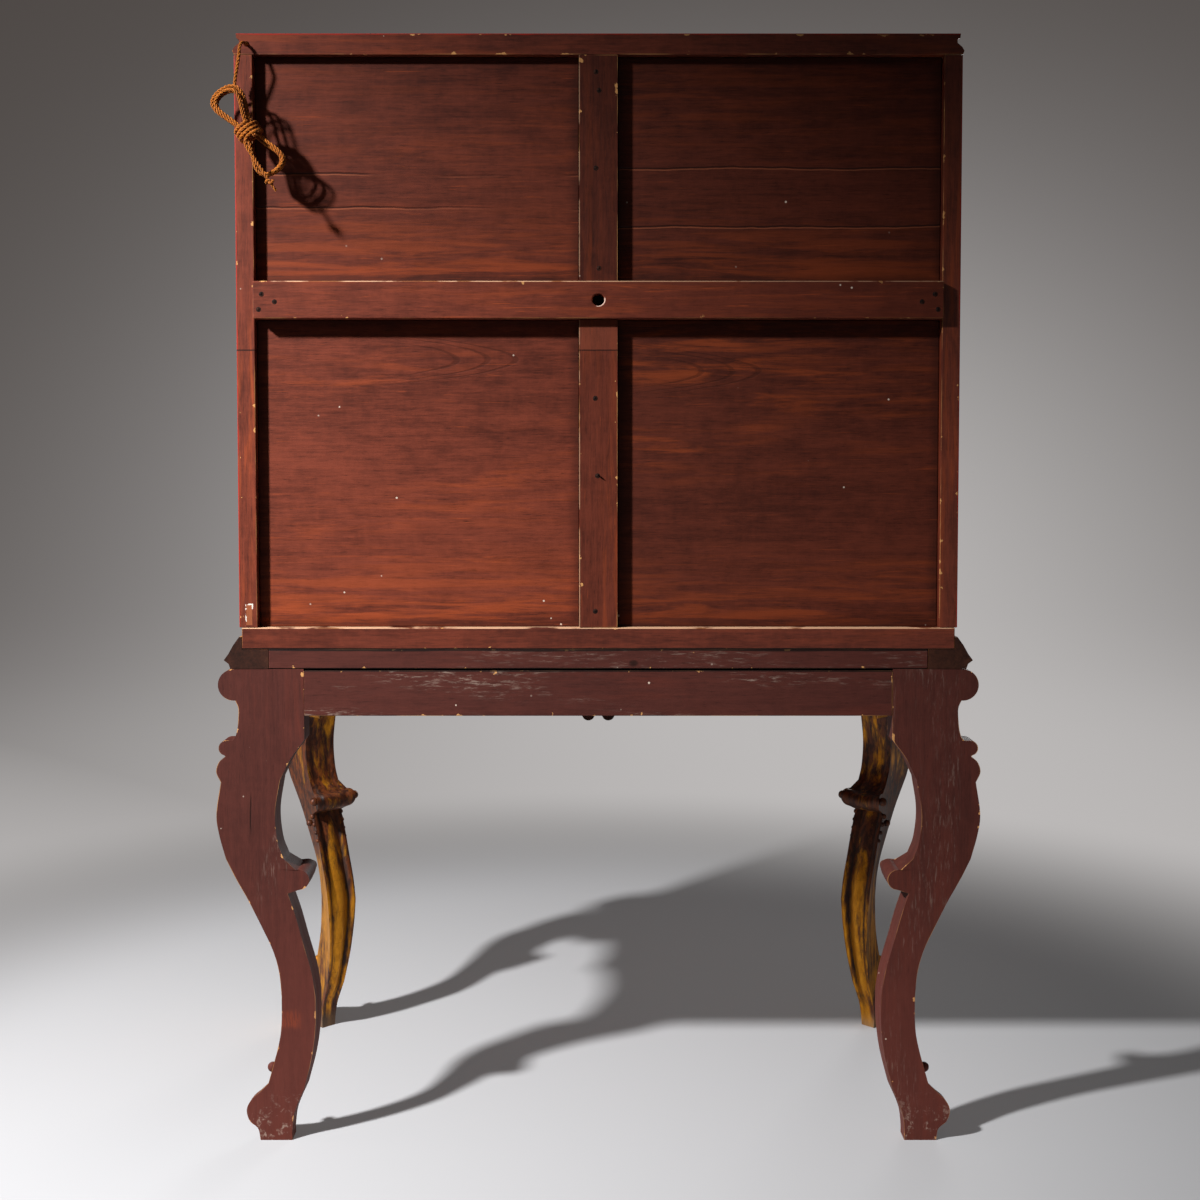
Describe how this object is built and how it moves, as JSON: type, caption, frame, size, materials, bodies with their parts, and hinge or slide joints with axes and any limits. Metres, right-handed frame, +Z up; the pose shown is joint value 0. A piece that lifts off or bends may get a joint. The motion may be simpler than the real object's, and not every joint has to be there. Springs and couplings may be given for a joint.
{
  "type": "cocktail cabinet",
  "caption": "Lacquered drinks cabinet with panelled back and paired doors on a carved stand with curved legs, with a lamp inside and its cord tied up at the back.",
  "frame": {"origin": "on the floor, under the middle of the box round the cabinet and its stand without the cord", "axes": "+Z up, the doors face -Y and the panelled back faces +Y, +X is the right door's side seen from the front"},
  "size_m": [1.0454, 0.565, 1.4767],
  "materials": {
    "red_brown_paint": "worn red-brown paint over softwood",
    "red_lacquer": "red lacquer with gilt lines",
    "gilding": "worn gilding over carved wood",
    "brass": "aged brass",
    "silk_cord": "twisted cord with a gold-orange covering",
    "bulb_glass": "frosted glass"
  },
  "bodies": {
    "case": {"apron_back": "red_brown_paint", "corner_block_left": "red_brown_paint", "corner_block_right": "red_brown_paint", "stand_back_strip": "red_brown_paint", "leg_rear_left": "red_brown_paint", "leg_rear_right": "red_brown_paint", "back_mid_rail": "red_brown_paint", "back_muntin_lower": "red_brown_paint", "back_muntin_upper": "red_brown_paint", "back_panel_lower_left": "red_brown_paint", "back_panel_lower_right": "red_brown_paint", "back_panel_upper_left": "red_brown_paint", "back_panel_upper_right": "red_brown_paint", "case_bottom": "red_lacquer", "case_side_left": "red_lacquer", "case_side_right": "red_lacquer", "case_top": "red_lacquer", "shelf": "red_lacquer", "shelf_bearer_left": "red_lacquer", "shelf_bearer_right": "red_lacquer", "leg_front_left": "gilding", "leg_front_right": "gilding", "apron_front": "gilding", "apron_left": "gilding", "apron_right": "gilding", "stand_moulding_front": "gilding", "stand_moulding_left": "gilding", "stand_moulding_right": "gilding", "lamp_holder": "brass", "hinge_left_lower_case_leaf": "brass", "hinge_left_lower_pin": "brass", "hinge_left_upper_case_leaf": "brass", "hinge_left_upper_pin": "brass", "hinge_right_lower_case_leaf": "brass", "hinge_right_lower_pin": "brass", "hinge_right_upper_case_leaf": "brass", "hinge_right_upper_pin": "brass", "lamp_flex_inside": "silk_cord", "cord_drop": "silk_cord", "cord_hank": "silk_cord", "cord_end_knot": "silk_cord", "lamp_bulb": "bulb_glass"},
    "left_door": {"door_left": "red_lacquer", "lock_keeper": "brass", "bolt_guide_lower": "brass", "bolt_guide_upper": "brass", "hinge_left_lower_door_leaf": "brass", "hinge_left_upper_door_leaf": "brass"},
    "right_door": {"door_right": "red_lacquer", "lock_case": "brass", "lock_plate": "brass", "hinge_right_lower_door_leaf": "brass", "hinge_right_upper_door_leaf": "brass"},
    "key": {"key": "brass"},
    "lock_bolt": {"lock_bolt": "brass"},
    "upper_bolt": {"bolt_upper": "brass"},
    "lower_bolt": {"bolt_lower": "brass"}
  },
  "joints": [
    {"name": "left_door_hinge", "type": "hinge", "parent": "case", "child": "left_door", "pos_m": [-0.4828, -0.19451, 1.07255], "axis": [0, 0, -1], "range_deg": [0, 170]},
    {"name": "right_door_hinge", "type": "hinge", "parent": "case", "child": "right_door", "pos_m": [0.4828, -0.19451, 1.07255], "axis": [0, 0, 1], "range_deg": [0, 170]},
    {"name": "key_turn", "type": "hinge", "parent": "right_door", "child": "key", "pos_m": [0.0375, -0.21666, 1.00255], "axis": [0, 1, 0], "range_deg": [0, 90]},
    {"name": "lock_bolt_slide", "type": "slide", "parent": "right_door", "child": "lock_bolt", "axis": [-1, 0, 0], "range_m": [0, 0.01]},
    {"name": "upper_bolt_slide", "type": "slide", "parent": "left_door", "child": "upper_bolt", "axis": [0, 0, 1], "range_m": [0, 0.012]},
    {"name": "lower_bolt_slide", "type": "slide", "parent": "left_door", "child": "lower_bolt", "axis": [0, 0, -1], "range_m": [0, 0.012]}
  ],
  "couplings": [
    {"joint": "key_turn", "follows": "lock_bolt_slide", "rad_per_m": 157.08}
  ]
}
